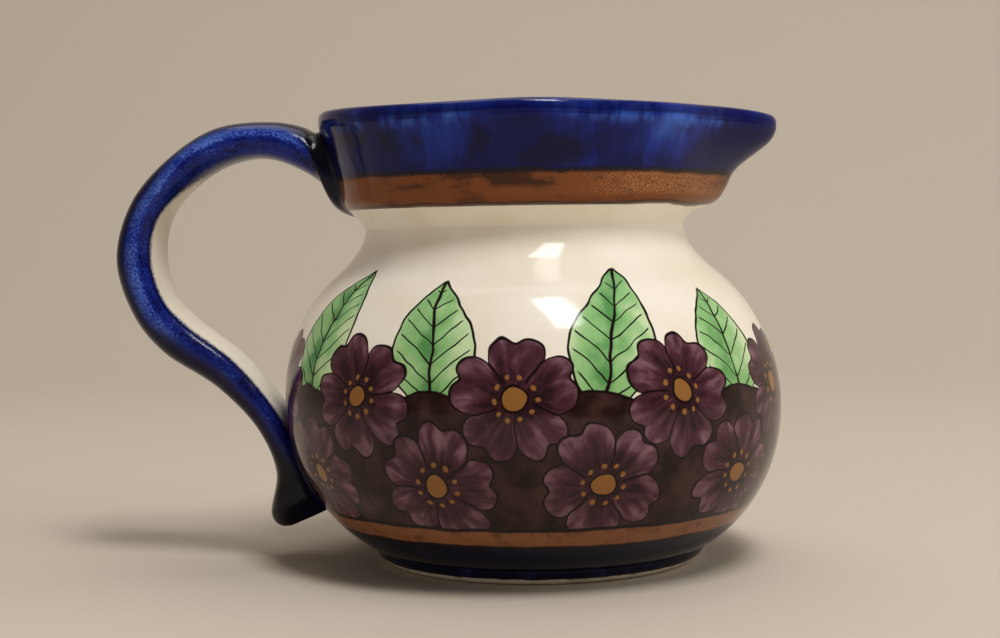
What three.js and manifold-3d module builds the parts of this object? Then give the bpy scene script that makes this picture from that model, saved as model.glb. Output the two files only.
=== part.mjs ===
// A small glazed cream jug, put together as a potter does it: a round belly on a foot ring,
// a flared collar drawn out into a pouring lip, and a strap handle, all joined with slip.
// Millimetres, +Z up. The lip points along +X and the handle along -X, and the origin is the
// middle of the jug's outline on the table.
import * as THREE from 'three';
import { mergeVertices } from 'three/addons/utils/BufferGeometryUtils.js';
import Module from 'manifold-3d';

const wasm = await Module();
wasm.setup();

// Heights above the table
const rimHeight = 82;
const seamHeight = 62; // top of the belly's neck
const bellyHeight = 29.5; // the belly's widest line
const footHeight = 2.8;

// Belly
const bellyRadius = 45.7;
const bellyCoreRadius = 20; // circle about which the belly's oval section is swung
const neckRadius = 29.3;
const neckFlow = 6.1; // how far outside the neck the shoulder begins to turn upwards
const neckRun = 4.4; // nearly straight part of the neck
const wallThickness = 3.8;
const floorThickness = 4.4;
const mouthSetBack = 2.9; // the mouth's centre lies this far behind the foot's

// Foot ring
const footTopRadius = 30.6;
const footStandRadius = 27.3;
const footRingWidth = 4;
const footDraft = 0.6; // the ring's inner face leans in by this much towards its top
const footEdge = 0.4; // rise of the rounded outer edge at the table

// Collar and pouring lip
const neckSlipThickness = 0.8;
const neckSlipBead = 0.35; // slip squeezed out past the neck
const hemRadius = 33.2; // lower edge of the collar, where it overhangs the neck
const hemRise = 2.3;
const coveHollow = 0.5; // bow of the cove under the hem
const rimRadius = 37;
const rimThickness = 4.6;
const rollReach = 1.8; // from the rim's crown out to its edge
const rollHeight = 1.9;
const collarHollow = 0.7; // the collar's side is drawn in by this much halfway up
const lipPull = 10.15;
const lipDip = 0.6; // the lip's tip lies this much lower than the rim
const lipSpread = 0.22; // half width of the lip, in radians
const lipRounding = 0.05; // softens the lip's tip, in radians
const lipTaper = 1.35;
const throatStart = 0.19; // the lip's hollow throat, in shares of the collar's height below the rim
const throatEnd = 0.63;
const throatShare = 0.49; // share of the pull that is gained there
const lipRise = 4.5; // how soon the rest of the pull is gained on the way up

// Handle
const handleStandOff = 33.2; // back of the handle behind the widest line of the belly
const handleDrop = 0.2; // top of the handle below the rim
const earRadius = 21.8;
const earFlattening = 1; // how far the ear's arc is drawn in between its top, back and foot
const earAngles = [80, 105, 130, 155, 180, 205, 225]; // degrees, from the collar round to the leg
const strapThickness = 8.4;
const crownThickness = 7; // where the strap is highest
const strapWidth = 13.5;
const strapSquareness = 2.5; // power of the strap's rounded section
const seatDrop = 2.5; // top of the upper seat below the rim
const seatWidth = 14.5;
const webFoot = 0.8; // lower end of the web that runs down the collar, above the collar's base
const webLift = 1.9; // how far the web stands off the collar's hem
const webArch = 1.4; // hollow under the web
const armHeight = 32; // outer face of the arm that comes down from the ear
const armReach = 13.3; // how far that face lies behind the belly
const armRise = 6; // from there up to the inner face
const armLift = 9.7; // room between the inner face and the belly
const kneeHeight = 24; // where the strap comes down onto the belly
const kneeReach = 6.35;
const kneeRise = 4.1;
const kneeLift = 0.9;
const tailThickness = 5.85;
const tailTilt = 2.2; // rise of the tail's sections towards the belly
const heelHeight = 8.5; // where the tail kicks out furthest
const heelThickness = 12.3;
const toeRound = 2.6; // radius from the heel round to the sole
const tipExit = 8.6; // height at which the line of the tail's underside meets the belly
const tipShare = 0.4; // share of that line that the tail's blunt end takes up
const tipWidth = 9;

// Luted joints of the handle
const slipThickness = 1.2;
const slipSpread = 0.9; // slip squeezed out round the handle's ends
const jointGap = 0.3;
const seatDepth = 2; // how deep the handle is drawn into the body before it is trimmed to it

// Facets
const turnSteps = 48;
const collarSteps = 72;
const collarCrowding = 0.55; // gathers the collar's facets towards the lip
const strapSides = 14;
const strapSteps = 48;

const collarBase = seamHeight + neckSlipThickness;
const hemHeight = collarBase + hemRise;
const lean = mouthSetBack / rimHeight;

const point = (x, y) => new THREE.Vector2(x, y);

function glaze(color, roughness) {
  return new THREE.MeshStandardMaterial({ color, roughness, metalness: 0 });
}

// Sets the mouth back over the foot, with every level face left level
function leanBack(geometry) {
  return geometry.applyMatrix4(new THREE.Matrix4().makeShear(0, 0, 0, 0, -lean, 0));
}

function turned(profile) {
  const geometry = new THREE.LatheGeometry(profile, turnSteps);
  return leanBack(geometry.rotateX(Math.PI / 2));
}

function closedLoop(profile) {
  return [...profile, profile[0].clone()];
}

function toSolid(geometry) {
  const bare = geometry.clone();
  bare.deleteAttribute('normal');
  bare.deleteAttribute('uv');
  const merged = mergeVertices(bare);
  return new wasm.Manifold(new wasm.Mesh({
    numProp: 3,
    vertProperties: new Float32Array(merged.getAttribute('position').array),
    triVerts: new Uint32Array(merged.getIndex().array),
  }));
}

function toGeometry(solid) {
  const mesh = solid.getMesh();
  const geometry = new THREE.BufferGeometry();
  geometry.setAttribute('position', new THREE.Float32BufferAttribute(mesh.vertProperties, 3));
  geometry.setIndex([...mesh.triVerts]);
  geometry.computeVertexNormals();
  return geometry;
}

// A skin over equal rings of points: joined end to end, or with a flat cap on each end
function skin(rings, isEndless) {
  const size = rings[0].length;
  const count = rings.length;
  const faces = [];
  const spans = isEndless ? count : count - 1;
  for (let ring = 0; ring < spans; ring++) {
    const here = ring * size;
    const there = ((ring + 1) % count) * size;
    for (let i = 0; i < size; i++) {
      const next = (i + 1) % size;
      faces.push(here + i, here + next, there + next);
      faces.push(here + i, there + next, there + i);
    }
  }
  if (!isEndless) {
    const last = (count - 1) * size;
    for (let i = 1; i + 1 < size; i++) {
      faces.push(0, i + 1, i);
      faces.push(last, last + i, last + i + 1);
    }
  }
  const geometry = new THREE.BufferGeometry().setFromPoints(rings.flat());
  geometry.setIndex(faces);
  geometry.computeVertexNormals();
  return geometry;
}

// One face of the belly, from its floor up to the seam, lying inset inside the outer face
function bellyFace(inset, floor) {
  const swell = bellyRadius - inset - bellyCoreRadius;
  const floorCos = (footTopRadius - inset - bellyCoreRadius) / swell;
  const depth = (bellyHeight - floor) / Math.sqrt(1 - floorCos ** 2);
  const neck = neckRadius - inset;
  const turnCos = (neck + neckFlow - bellyCoreRadius) / swell;
  const turnSin = Math.sqrt(1 - turnCos ** 2);
  const bend = point(neck, seamHeight - neckRun);
  const rise = (bend.y - bellyHeight) / (turnSin + neckFlow * turnCos / (swell * turnSin));
  const centre = [bellyCoreRadius, bellyHeight, swell];
  const lower = new THREE.EllipseCurve(...centre, depth, -Math.acos(floorCos), 0);
  const upper = new THREE.EllipseCurve(...centre, rise, 0, Math.acos(turnCos));
  const shoulder = new THREE.QuadraticBezierCurve(upper.getPoint(1), bend, point(neck, seamHeight));
  return [
    ...lower.getPoints(10),
    ...upper.getPoints(7).slice(1),
    ...shoulder.getPoints(5).slice(1),
  ];
}

// The collar's outer side without its lip, from the seam up to the rim's roll
function collarFace(outset) {
  const base = point(neckRadius + outset, collarBase - outset);
  const hem = point(hemRadius + outset, hemHeight - outset / 2);
  const rim = point(rimRadius + outset, rimHeight - rollHeight);
  const hollow = base.clone().lerp(hem, 0.5);
  hollow.x -= coveHollow;
  const cove = new THREE.QuadraticBezierCurve(base, hollow, hem);
  const waist = hem.clone().lerp(rim, 0.5);
  waist.x -= 2 * collarHollow;
  const side = new THREE.QuadraticBezierCurve(hem, waist, rim);
  return [...cove.getPoints(3), ...side.getPoints(9).slice(1)];
}

// Radius of a face at a height, read off its profile
function radiusAt(face, height) {
  const above = Math.max(1, face.findIndex((corner) => corner.y >= height));
  const [low, high] = [face[above - 1], face[above]];
  return THREE.MathUtils.mapLinear(height, low.y, high.y, low.x, high.x);
}

// Belly: a turned bowl with its floor, open at the neck
function makeBelly() {
  const outer = bellyFace(0, footHeight);
  const inner = bellyFace(wallThickness, footHeight + floorThickness);
  const profile = [
    point(0, footHeight),
    ...outer,
    ...inner.reverse(),
    point(0, footHeight + floorThickness),
  ];
  return turned(profile);
}

// Foot ring: a low ring under the belly, with a rounded outer edge
function makeFootRing() {
  const innerRadius = footStandRadius - footRingWidth;
  const side = new THREE.QuadraticBezierCurve(
    point(footStandRadius, 0),
    point(footTopRadius - footDraft, footEdge),
    point(footTopRadius, footHeight),
  );
  return turned(closedLoop([
    point(innerRadius, 0),
    ...side.getPoints(5),
    point(innerRadius - footDraft, footHeight),
  ]));
}

// Neck slip: the bead of slip on which the collar stands
function makeNeckSlip() {
  const middle = seamHeight + neckSlipThickness / 2;
  const bead = [neckSlipBead, neckSlipThickness / 2];
  const quarter = Math.PI / 2;
  const outside = new THREE.EllipseCurve(neckRadius, middle, ...bead, -quarter, quarter);
  const inside = new THREE.EllipseCurve(
    neckRadius - wallThickness, middle, ...bead, quarter, 3 * quarter);
  return turned(closedLoop([...outside.getPoints(4), ...inside.getPoints(4)]));
}

// How far the lip is drawn out at an angle from the front, as a share of its pull
function lipBell(angle) {
  const off = Math.hypot(angle, lipRounding) - lipRounding;
  return Math.exp(-((off / lipSpread) ** lipTaper));
}

// How much of the lip's pull the collar takes at a height
function lipShare(height) {
  const down = (rimHeight - height) / (rimHeight - collarBase);
  const throat = throatShare * THREE.MathUtils.smoothstep(down, throatStart, throatEnd);
  return 1 - throat - (1 - throatShare) * down ** lipRise;
}

// Collar: a flared wall with a rolled rim, drawn out at the front into the lip
function makeCollar() {
  const crown = [rimRadius - rollReach, rimHeight - rollHeight];
  const quarter = Math.PI / 2;
  const rim = new THREE.EllipseCurve(...crown, rollReach, rollHeight, 0, quarter);
  const brow = new THREE.EllipseCurve(
    ...crown, rimThickness - rollReach, rollHeight, quarter, 2 * quarter);
  const throat = new THREE.QuadraticBezierCurve(
    brow.getPoint(1),
    point(hemRadius - wallThickness, hemHeight),
    point(neckRadius - wallThickness, collarBase),
  );
  const profile = [
    ...collarFace(0),
    ...rim.getPoints(3).slice(1),
    ...brow.getPoints(3).slice(1),
    ...throat.getPoints(8).slice(1),
  ];
  const rings = [];
  for (let step = 0; step < collarSteps; step++) {
    const turn = 2 * Math.PI * step / collarSteps - Math.PI;
    const angle = turn - collarCrowding * Math.sin(turn);
    const bell = lipBell(angle);
    rings.push(profile.map((corner) => {
      const share = lipShare(corner.y);
      const reach = corner.x + lipPull * bell * share;
      const height = corner.y - lipDip * bell * share ** 2;
      return new THREE.Vector3(reach * Math.cos(angle), reach * Math.sin(angle), height);
    }).reverse());
  }
  return leanBack(skin(rings, true));
}

// The handle's sections, as an outer and an inner point on the jug's middle plane with a width
function handleStations() {
  const collar = collarFace(0);
  const belly = bellyFace(0, footHeight);
  const behind = (face, height, proud) => point(
    -radiusAt(face, height) - lean * height - proud, height);
  const ear = point(
    -(bellyRadius + handleStandOff) + strapThickness / 2 + earRadius,
    rimHeight - handleDrop - crownThickness / 2 - earRadius,
  );
  const onEar = (degrees) => {
    const angle = THREE.MathUtils.degToRad(degrees);
    const way = point(Math.cos(angle), Math.sin(angle));
    const bend = earRadius - earFlattening * Math.sin(2 * angle) ** 2;
    const depth = THREE.MathUtils.lerp(crownThickness, strapThickness, Math.max(0, -way.x)) / 2;
    return {
      outer: ear.clone().addScaledVector(way, bend + depth),
      inner: ear.clone().addScaledVector(way, bend - depth),
      width: strapWidth,
    };
  };
  const inBelly = (rise) => behind(belly, tipExit + rise, -seatDepth);
  const heel = behind(belly, heelHeight, heelThickness);
  const onToe = (degrees) => {
    const angle = THREE.MathUtils.degToRad(degrees);
    return point(1 - Math.cos(angle), -Math.sin(angle)).multiplyScalar(toeRound).add(heel);
  };
  const seat = {
    outer: behind(collar, rimHeight - seatDrop, -seatDepth),
    inner: behind(collar, collarBase + webFoot, -seatDepth),
    width: seatWidth,
  };
  const root = {
    outer: behind(collar, rimHeight - seatDrop, slipThickness),
    inner: behind(collar, hemHeight, webLift),
    width: seatWidth,
  };
  const loop = earAngles.map(onEar);
  const crown = loop[0];
  const web = {
    outer: seat.outer.clone().lerp(crown.outer, 0.5),
    inner: seat.inner.clone().lerp(crown.inner, 0.5).add(point(0, webArch)),
    width: (seatWidth + strapWidth) / 2,
  };
  const arm = {
    outer: behind(belly, armHeight, armReach),
    inner: behind(belly, armHeight + armRise, armLift),
    width: strapWidth,
  };
  const knee = {
    outer: behind(belly, kneeHeight, kneeReach),
    inner: behind(belly, kneeHeight + kneeRise, kneeLift),
    width: strapWidth,
  };
  const waistHeight = (kneeHeight + heelHeight) / 2;
  const waist = {
    outer: behind(belly, waistHeight, tailThickness),
    inner: behind(belly, waistHeight + tailTilt / 2, -seatDepth),
    width: strapWidth,
  };
  const sole = onToe(90);
  return [
    seat,
    root,
    web,
    ...loop,
    arm,
    knee,
    waist,
    { outer: heel, inner: inBelly(2 * tailTilt), width: strapWidth },
    { outer: onToe(45), inner: inBelly(tailTilt), width: (strapWidth + tipWidth) / 2 },
    { outer: sole, inner: sole.clone().lerp(behind(belly, tipExit, 0), tipShare), width: tipWidth },
  ];
}

// The strap as it is pulled, running on into the body at both ends, grown all round by a margin
function pulledStrap(margin) {
  const stations = handleStations();
  const guide = (side) => new THREE.CatmullRomCurve3(
    stations.map((station) => new THREE.Vector3(station[side].x, 0, station[side].y)),
    false, 'centripetal');
  const [outer, inner] = [guide('outer'), guide('inner')];
  const widths = new THREE.SplineCurve(stations.map((station, i) => point(i, station.width)));
  const rounded = (value) => Math.sign(value) * Math.abs(value) ** (2 / strapSquareness);
  const rings = [];
  for (let step = 0; step <= strapSteps; step++) {
    const along = step / strapSteps;
    const [top, under] = [outer.getPoint(along), inner.getPoint(along)];
    const middle = top.clone().lerp(under, 0.5);
    const depth = top.distanceTo(under) / 2 + margin;
    const up = top.clone().sub(under).normalize();
    const half = widths.getPoint(along).y / 2 + margin;
    const ring = [];
    for (let side = 0; side < strapSides; side++) {
      const angle = 2 * Math.PI * (side + 0.5) / strapSides;
      const corner = middle.clone().addScaledVector(up, depth * rounded(Math.sin(angle)));
      corner.y -= half * rounded(Math.cos(angle));
      ring.push(corner);
    }
    rings.push(ring);
  }
  return toSolid(skin(rings, false));
}

// The jug's outside as a full body, grown by a margin: what the handle's ends are trimmed to
function grownBelly(margin) {
  const face = bellyFace(-margin, footHeight);
  return toSolid(turned([point(0, footHeight), ...face, point(0, seamHeight)]));
}

function grownCollar(margin) {
  const face = collarFace(margin);
  return toSolid(turned([
    point(0, collarBase),
    ...face,
    point(rimRadius + margin, rimHeight + margin),
    point(0, rimHeight + margin),
  ]));
}

// A pad of slip between the body and an end of the handle, a little wider than the strap
function makeSlip(grownBody) {
  const pad = pulledStrap(slipSpread).intersect(grownBody(jointGap + slipThickness));
  return toGeometry(pad.subtract(grownBody(jointGap)));
}

// Handle: the strap trimmed to the outside of its two pads of slip
function makeHandle() {
  const margin = slipThickness + 2 * jointGap;
  const strap = pulledStrap(0);
  return toGeometry(strap.subtract(grownCollar(margin)).subtract(grownBelly(margin)));
}

const cream = 0xe6dabd;
const cobalt = 0x232f6d;
const bareClay = 0xd8ccb4;
const pieces = {
  belly: [makeBelly(), glaze(cream, 0.15)],
  foot_ring: [makeFootRing(), glaze(bareClay, 0.8)],
  neck_slip: [makeNeckSlip(), glaze(cream, 0.2)],
  collar: [makeCollar(), glaze(cobalt, 0.15)],
  handle: [makeHandle(), glaze(cobalt, 0.2)],
  handle_top_slip: [makeSlip(grownCollar), glaze(cobalt, 0.2)],
  handle_tail_slip: [makeSlip(grownBelly), glaze(cobalt, 0.2)],
};

const jug = new THREE.Group();
for (const [name, [geometry, material]] of Object.entries(pieces)) {
  const mesh = new THREE.Mesh(geometry, material);
  mesh.name = name;
  jug.add(mesh);
}
const outline = new THREE.Box3().setFromObject(jug);
jug.position.x = -(outline.min.x + outline.max.x) / 2;

export default jug;
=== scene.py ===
import math

import bmesh
import bpy
import numpy as np
from mathutils import Euler, Matrix, Vector


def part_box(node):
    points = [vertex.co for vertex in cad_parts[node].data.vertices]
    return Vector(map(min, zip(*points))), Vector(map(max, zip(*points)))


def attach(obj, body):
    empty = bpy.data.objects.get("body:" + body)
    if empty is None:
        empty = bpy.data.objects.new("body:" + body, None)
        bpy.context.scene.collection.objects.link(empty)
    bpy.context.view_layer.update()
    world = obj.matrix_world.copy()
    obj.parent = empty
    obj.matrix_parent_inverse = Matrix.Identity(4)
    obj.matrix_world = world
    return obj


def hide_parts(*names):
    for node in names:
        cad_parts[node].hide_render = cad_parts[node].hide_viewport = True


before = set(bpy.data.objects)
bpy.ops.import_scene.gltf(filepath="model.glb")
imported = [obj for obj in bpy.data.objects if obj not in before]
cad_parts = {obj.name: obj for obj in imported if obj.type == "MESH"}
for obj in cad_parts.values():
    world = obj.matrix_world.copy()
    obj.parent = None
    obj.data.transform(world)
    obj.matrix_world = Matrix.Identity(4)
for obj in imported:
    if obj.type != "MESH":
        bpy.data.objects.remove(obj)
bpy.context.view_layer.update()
mm = 0.001
print("frame loaded:", len(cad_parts), "nodes")

# Sizes that several pieces share, taken from the frame where it has them
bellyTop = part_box("belly")[1]
collarLow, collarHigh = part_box("collar")
footLow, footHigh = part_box("foot_ring")
jug = dict(
    rimHeight=collarHigh.z,
    collarBase=collarLow.z,
    seamHeight=bellyTop.z,
    footHeight=footHigh.z,
    bellyRadius=bellyTop.y,
    footTopRadius=footHigh.y,
    neckRadius=29.3 * mm,
    wall=3.8 * mm,
    setBack=2.9 * mm,  # the mouth's centre lies this far behind the foot's
    weld=0.002 * mm,  # points closer than this become one
)
jug["lean"] = jug["setBack"] / jug["rimHeight"]
jug["axis"] = (footLow.x + footHigh.x) / 2 + jug["lean"] * jug["footHeight"]


# Camera, fitted to the photograph's round outlines
lens = dict(
    pixelsWide=1000,
    focalPixels=1700,
    sensor=36,
    place=(17.9 * mm, -315.45 * mm, 59.14 * mm),  # from the middle of the foot
    down=2.694,  # degrees
    turn=4.5,
    roll=-0.903,
    nearest=0.01,
)


def makeCamera():
    data = bpy.data.cameras.new("photoCamera")
    data.sensor_width = lens["sensor"]
    data.lens = lens["sensor"] * lens["focalPixels"] / lens["pixelsWide"]
    data.clip_start = lens["nearest"]
    camera = bpy.data.objects.new("photoCamera", data)
    aim = Euler((math.radians(90 - lens["down"]), 0, math.radians(lens["turn"])))
    roll = Matrix.Rotation(math.radians(lens["roll"]), 3, "Z")
    place = Vector(lens["place"]) + Vector((jug["axis"], 0, 0))
    camera.matrix_world = Matrix.Translation(place) @ (aim.to_matrix() @ roll).to_4x4()
    bpy.context.scene.collection.objects.link(camera)
    bpy.context.scene.camera = camera


makeCamera()
print("camera placed")


# Node building: a wire is a node's output that can be used in sums
def feed(tree, socket, value):
    if isinstance(value, Wire):
        tree.links.new(value.socket, socket)
    else:
        socket.default_value = value


def addNode(tree, kind, inputs=(), **settings):
    node = tree.nodes.new(kind)
    for name, value in settings.items():
        setattr(node, name, value)
    for name, value in dict(inputs).items():
        feed(tree, node.inputs[name], value)
    return node


class Wire:
    def __init__(self, tree, socket):
        self.tree = tree
        self.socket = socket

    def do(self, operation, *others):
        inputs = dict(enumerate((self, *others)))
        node = addNode(self.tree, "ShaderNodeMath", inputs, operation=operation)
        return Wire(self.tree, node.outputs[0])

    def __add__(self, other):
        return self.do("ADD", other)

    def __sub__(self, other):
        return self.do("SUBTRACT", other)

    def __mul__(self, other):
        return self.do("MULTIPLY", other)

    def __truediv__(self, other):
        return self.do("DIVIDE", other)

    def __pow__(self, other):
        return self.do("POWER", other)

    def __rtruediv__(self, other):
        return self ** -1.0 * other

    def __neg__(self):
        return self * -1.0

    def __rsub__(self, other):
        return -self + other

    def __abs__(self):
        return self.do("ABSOLUTE")

    def fade(self, low, high):  # 0 at low, 1 at high, smooth between
        inputs = {"Value": self, "From Min": low, "From Max": high}
        node = addNode(self.tree, "ShaderNodeMapRange", inputs, interpolation_type="SMOOTHSTEP")
        return Wire(self.tree, node.outputs[0])

    def above(self, limit, soft):  # 1 above the limit, 0 below it
        return self.fade(limit - soft, limit + soft)

    def below(self, limit, soft):  # and the other way round
        return self.fade(limit + soft, limit - soft)

    def swing(self, share):  # turns a noise of 0 to 1 into one about zero
        return (self - 0.5) * share


def hypot(a, b):
    return (a * a + b * b) ** 0.5


def nodeWire(tree, kind, inputs=(), output=0, **settings):
    return Wire(tree, addNode(tree, kind, inputs, **settings).outputs[output])


def splitVector(tree, vector):
    parts = addNode(tree, "ShaderNodeSeparateXYZ", {0: vector}).outputs
    return [Wire(tree, part) for part in parts]


def joinVector(tree, x, y, z):
    return nodeWire(tree, "ShaderNodeCombineXYZ", {0: x, 1: y, 2: z})


# Pieces are drawn by geometry nodes and then kept as plain meshes
def openTree(name, sizes, counts):
    tree = bpy.data.node_groups.new(name, "GeometryNodeTree")
    kinds = [("Lines", "NodeSocketGeometry"), ("Glaze", "NodeSocketMaterial")]
    kinds += [(size, "NodeSocketFloat") for size in sizes]
    kinds += [(count, "NodeSocketInt") for count in counts]
    for label, kind in kinds:
        tree.interface.new_socket(label, in_out="INPUT", socket_type=kind)
    tree.interface.new_socket("Piece", in_out="OUTPUT", socket_type="NodeSocketGeometry")
    given = tree.nodes.new("NodeGroupInput").outputs
    return tree, lambda label: Wire(tree, given[label])


def drawGrid(tree, across, along):
    # a net of points: returns it with the column and row number of each point
    net = nodeWire(tree, "GeometryNodeMeshGrid", {"Vertices X": across + 1.0, "Vertices Y": along})
    index = nodeWire(tree, "GeometryNodeInputIndex")
    column = (index / along).do("FLOOR")
    return net, column, index - column * along


def pickPoint(tree, lines, index):
    position = nodeWire(tree, "GeometryNodeInputPosition")
    inputs = {"Geometry": lines, "Value": position, "Index": index}
    spot = nodeWire(tree, "GeometryNodeSampleIndex", inputs, data_type="FLOAT_VECTOR")
    return splitVector(tree, spot)


def countPoints(tree, lines):
    return nodeWire(tree, "GeometryNodeAttributeDomainSize", {"Geometry": lines})


def closeTree(tree, net, position, marks, glaze):
    made = net
    for label, value in marks.items():
        inputs = {"Geometry": made, "Name": label, "Value": value}
        made = nodeWire(tree, "GeometryNodeStoreNamedAttribute", inputs, data_type="FLOAT")
    made = nodeWire(tree, "GeometryNodeSetPosition", {"Geometry": made, "Position": position})
    made = nodeWire(tree, "GeometryNodeMergeByDistance", {"Geometry": made, "Distance": jug["weld"]})
    made = nodeWire(tree, "GeometryNodeSetShadeSmooth", {"Geometry": made})
    made = nodeWire(tree, "GeometryNodeRealizeInstances", {"Geometry": made})
    made = nodeWire(tree, "GeometryNodeSetMaterial", {"Geometry": made, "Material": glaze})
    tree.links.new(made.socket, tree.nodes.new("NodeGroupOutput").inputs[0])


def keepMesh(name, points, tree, values):
    lines = bpy.data.meshes.new(name)
    lines.from_pydata([tuple(point) for point in points], [], [])
    piece = bpy.data.objects.new(name, lines)
    bpy.context.scene.collection.objects.link(piece)
    modifier = piece.modifiers.new(tree.name, "NODES")
    modifier.node_group = tree
    for socket in tree.interface.items_tree:
        if socket.name in values:
            modifier[socket.identifier] = values[socket.name]
    depsgraph = bpy.context.evaluated_depsgraph_get()
    piece.data = bpy.data.meshes.new_from_object(piece.evaluated_get(depsgraph))
    piece.modifiers.remove(modifier)
    bpy.data.meshes.remove(lines)
    piece.data.name = name
    return piece


def seat(piece, slot, *nodes):
    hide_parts(*nodes)
    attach(piece, "root")
    print(piece.name, "made:", len(piece.data.polygons), "faces")


# The wheel turns a profile about the leaning axis, and pulls a lip at its front.
# Down the lip, from rim to base, the pull falls off at the throat and then at the foot
lipSizes = {
    "Lip Pull": 10.15 * mm,
    "Lip Dip": 0.95 * mm,
    "Lip Spread": 0.22,  # radians
    "Lip Rounding": 0.05,
    "Lip Taper": 1.35,
    "Throat Start": 0.19,  # shares of the collar's height
    "Throat End": 0.63,
    "Throat Share": 0.49,
    "Lip Rise": 4.5,
    "Rim Swell": 0.4 * mm,  # the rim rises a little on either side
    "Swell Turn": 1.43,
    "Swell Width": 0.3,
    "Back Rise": 0.8 * mm,  # and towards the handle
    "Back Start": 1.9,
    "Crowding": 0.55,
    "Rim Height": jug["rimHeight"],
    "Collar Base": jug["collarBase"],
}
noLip = dict.fromkeys(("Lip Pull", "Lip Dip", "Rim Swell", "Back Rise", "Crowding"), 0.0)


def wheelTree():
    tree, take = openTree("pottersWheel", ["Axis", "Lean", *lipSizes], ["Turns"])
    profile = take("Lines")
    count = countPoints(tree, profile)
    net, column, row = drawGrid(tree, take("Turns"), count)
    radius, rise, height = pickPoint(tree, profile, row)
    turn = column / take("Turns") * math.tau - math.pi
    angle = turn - take("Crowding") * turn.do("SINE")
    off = hypot(angle, take("Lip Rounding")) - take("Lip Rounding")
    bell = (-((off / take("Lip Spread")) ** take("Lip Taper"))).do("EXPONENT")
    down = (take("Rim Height") - height) / (take("Rim Height") - take("Collar Base"))
    throat = take("Throat Share")
    share = 1.0 - throat * down.fade(take("Throat Start"), take("Throat End"))
    share = share - (1.0 - throat) * down.do("MAXIMUM", 0.0) ** take("Lip Rise")
    reach = radius + take("Lip Pull") * bell * share
    swell = (-(((abs(angle) - take("Swell Turn")) / take("Swell Width")) ** 2.0)).do("EXPONENT")
    wave = take("Rim Swell") * swell + take("Back Rise") * abs(angle).fade(take("Back Start"), math.pi)
    up = 1.0 - down
    level = height + wave * up * up - take("Lip Dip") * bell * bell * share * share
    x = take("Axis") + reach * angle.do("COSINE") - take("Lean") * level
    place = joinVector(tree, x, reach * angle.do("SINE"), level)
    closeTree(tree, net, place, {"rise": rise / mm}, take("Glaze"))
    return tree


wheel = wheelTree()


def arc(centre, radii, start, end, steps):
    angle = np.linspace(start, end, steps)
    across = centre[0] + radii[0] * np.cos(angle)
    return np.column_stack((across, centre[1] + radii[1] * np.sin(angle)))


def bow(start, control, end, steps):
    t = np.linspace(0, 1, steps)[:, None]
    ends = (1 - t) ** 2 * np.array(start) + t**2 * np.array(end)
    return ends + 2 * t * (1 - t) * np.array(control)


def chain(*runs):
    return np.vstack([runs[0], *[run[1:] for run in runs[1:]]])


def squared(angle, power):
    # points of a unit circle that is drawn out towards the corners of a square
    way = np.array((np.cos(angle), np.sin(angle)))
    return way * np.sum(np.abs(way) ** power, axis=0) ** (-1 / power)


def throw(name, profile, startIndex, glaze, turns, lip=noLip):
    # profile: radius and height; the paint's own coordinate starts at startIndex
    steps = np.hypot(*np.diff(profile, axis=0).T)
    rise = np.concatenate(([0], np.cumsum(steps)))
    rise -= rise[startIndex]
    points = np.column_stack((profile[:, 0], rise, profile[:, 1]))
    values = {"Axis": jug["axis"], "Lean": jug["lean"], "Turns": turns, "Glaze": glaze}
    return keepMesh(name, points, wheel, {**values, **lipSizes, **lip})


# Belly
bellySizes = dict(
    height=29.5 * mm,  # the widest line
    coreRadius=20 * mm,  # circle about which the oval section is swung
    neckFlow=6.1 * mm,
    neckRun=4.4 * mm,
    floor=4.4 * mm,
    faceSteps=(48, 36, 18),  # profile points below and above the widest line, and in the neck
    insideFineness=0.6,
    flatSteps=8,
    turns=256,
)


def bellyFace(inset, floor, fineness=1.0):
    size = bellySizes
    core = size["coreRadius"]
    swell = jug["bellyRadius"] - inset - core
    floorCos = (jug["footTopRadius"] - inset - core) / swell
    depth = (size["height"] - floor) / math.sqrt(1 - floorCos**2)
    neck = jug["neckRadius"] - inset
    turnCos = (neck + size["neckFlow"] - core) / swell
    turnSin = math.sqrt(1 - turnCos**2)
    bend = (neck, jug["seamHeight"] - size["neckRun"])
    flow = size["neckFlow"] * turnCos / (swell * turnSin)
    rise = (bend[1] - size["height"]) / (turnSin + flow)
    centre = (core, size["height"])
    steps = [round(count * fineness) for count in size["faceSteps"]]
    lower = arc(centre, (swell, depth), -math.acos(floorCos), 0, steps[0])
    upper = arc(centre, (swell, rise), 0, math.acos(turnCos), steps[1])
    shoulder = bow(upper[-1], bend, (neck, jug["seamHeight"]), steps[2])
    return chain(lower, upper, shoulder), steps[0]


def bellyRise():
    # along the face from the widest line up to the seam
    face, equator = bellyFace(0, jug["footHeight"])
    return np.sum(np.hypot(*np.diff(face[equator - 1:], axis=0).T))


def makeBelly(glaze):
    size = bellySizes
    foot = jug["footHeight"]
    floor = foot + size["floor"]
    outer, equator = bellyFace(0, foot)
    inner, _ = bellyFace(jug["wall"], floor, size["insideFineness"])
    under = bow((0, foot), (jug["footTopRadius"] / 2, foot), outer[0], size["flatSteps"])
    bowl = bow(inner[0], (inner[0][0] / 2, floor), (0, floor), size["flatSteps"])
    profile = chain(under, outer, np.vstack((outer[-1:], inner[::-1])), bowl)
    piece = throw("bellyBowl", profile, len(under) + equator - 2, glaze, size["turns"])
    seat(piece, "belly_glaze", "belly")


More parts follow.
